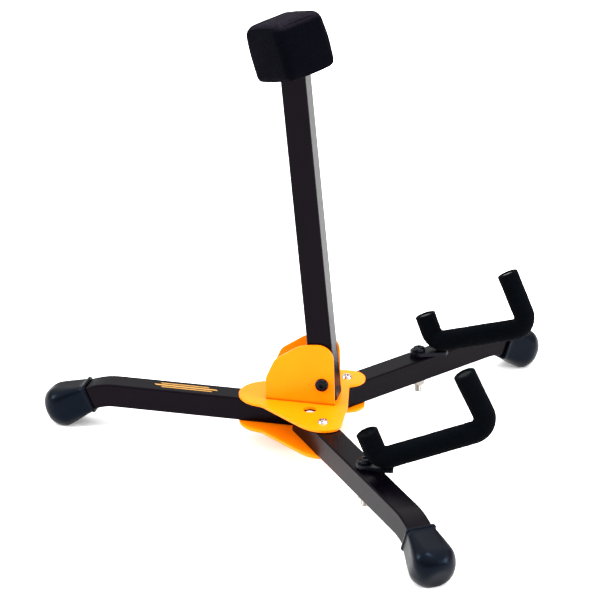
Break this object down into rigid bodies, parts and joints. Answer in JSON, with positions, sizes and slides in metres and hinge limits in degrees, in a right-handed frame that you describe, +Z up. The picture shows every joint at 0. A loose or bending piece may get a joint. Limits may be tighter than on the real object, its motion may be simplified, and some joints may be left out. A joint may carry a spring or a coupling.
{
  "type": "folding mini guitar stand",
  "caption": "Folding mini guitar stand: orange hub plates, black square-tube legs with rubber boots, foam-covered cradle arms and a foam neck pad on a hinged upright.",
  "frame": {"origin": "on the floor, below the middle of the unfolded stand's outline box", "axes": "+Z up; +Y towards the fixed rear leg; the cradle arms and the guitar are on the -Y side; +X towards the right front leg"},
  "size_m": [0.4462, 0.3914, 0.3644],
  "materials": {
    "orange_paint": "glossy enamel",
    "black_tube": "satin powder coat",
    "boot_rubber": "semi-gloss moulded rubber",
    "black_foam": "matte closed-cell foam",
    "bright_steel": "zinc-plated, polished",
    "plain_steel": "plain",
    "black_steel": "satin black",
    "nylon": "natural nylon",
    "end_plug": "moulded black"
  },
  "bodies": {
    "root": {"top_plate": "orange_paint", "bottom_plate": "orange_paint", "upright_bracket": "orange_paint", "rear_leg": "black_tube", "rear_foot": "boot_rubber", "rear_leg_rivets": "bright_steel", "rear_leg_spacers": "plain_steel", "left_pivot_rivet": "bright_steel", "right_pivot_rivet": "bright_steel", "upright_bolt": "black_steel", "upright_nut": "black_steel", "upright_washers": "nylon"},
    "upright": {"upright_tube": "black_tube", "upright_bush": "nylon", "upright_plug": "end_plug", "neck_pad": "black_foam", "upright_lock_spring": "plain_steel"},
    "upright_button": {"upright_lock_button": "bright_steel"},
    "left_leg_set": {"left_leg": "black_tube", "left_foot": "boot_rubber", "left_pivot_bush": "nylon", "left_lock_spring": "plain_steel", "left_arm_bolt": "bright_steel", "left_arm_nut": "bright_steel", "left_arm_washers": "bright_steel", "left_arm_spacer": "plain_steel"},
    "left_button": {"left_lock_button": "bright_steel"},
    "left_arm": {"left_arm_bracket": "black_steel", "left_arm_rod": "black_steel", "left_arm_sleeve": "black_foam", "left_arm_plugs": "end_plug"},
    "right_leg_set": {"right_leg": "black_tube", "right_foot": "boot_rubber", "right_pivot_bush": "nylon", "right_lock_spring": "plain_steel", "right_arm_bolt": "bright_steel", "right_arm_nut": "bright_steel", "right_arm_washers": "bright_steel", "right_arm_spacer": "plain_steel"},
    "right_button": {"right_lock_button": "bright_steel"},
    "right_arm": {"right_arm_bracket": "black_steel", "right_arm_rod": "black_steel", "right_arm_sleeve": "black_foam", "right_arm_plugs": "end_plug"}
  },
  "joints": [
    {"name": "upright_fold", "type": "hinge", "parent": "root", "child": "upright", "pos_m": [0, -0.04144, 0.0616], "axis": [-1, 0, 0], "range_deg": [0, 84]},
    {"name": "upright_lock_press", "type": "slide", "parent": "upright", "child": "upright_button", "axis": [-1, 0, 0], "range_m": [0, 0.003], "stiffness_N_per_m": 400, "springref_m": -0.002},
    {"name": "left_leg_fold", "type": "hinge", "parent": "root", "child": "left_leg_set", "pos_m": [-0.0446, -0.04954, 0.0313], "axis": [0, 0, -1], "range_deg": [0, 126]},
    {"name": "left_lock_press", "type": "slide", "parent": "left_leg_set", "child": "left_button", "axis": [0, 0, -1], "range_m": [0, 0.003], "stiffness_N_per_m": 400, "springref_m": -0.002, "deforming": ["left_lock_spring"]},
    {"name": "left_arm_swivel", "type": "hinge", "parent": "left_leg_set", "child": "left_arm", "pos_m": [-0.10948, -0.0972, 0.0413], "axis": [0, 0, -1], "range_deg": [-15, 60]},
    {"name": "right_leg_fold", "type": "hinge", "parent": "root", "child": "right_leg_set", "pos_m": [0.0446, -0.04954, 0.0313], "axis": [0, 0, 1], "range_deg": [0, 126]},
    {"name": "right_lock_press", "type": "slide", "parent": "right_leg_set", "child": "right_button", "axis": [0, 0, -1], "range_m": [0, 0.003], "stiffness_N_per_m": 400, "springref_m": -0.002, "deforming": ["right_lock_spring"]},
    {"name": "right_arm_swivel", "type": "hinge", "parent": "right_leg_set", "child": "right_arm", "pos_m": [0.10948, -0.0972, 0.0413], "axis": [0, 0, 1], "range_deg": [-15, 60]}
  ]
}
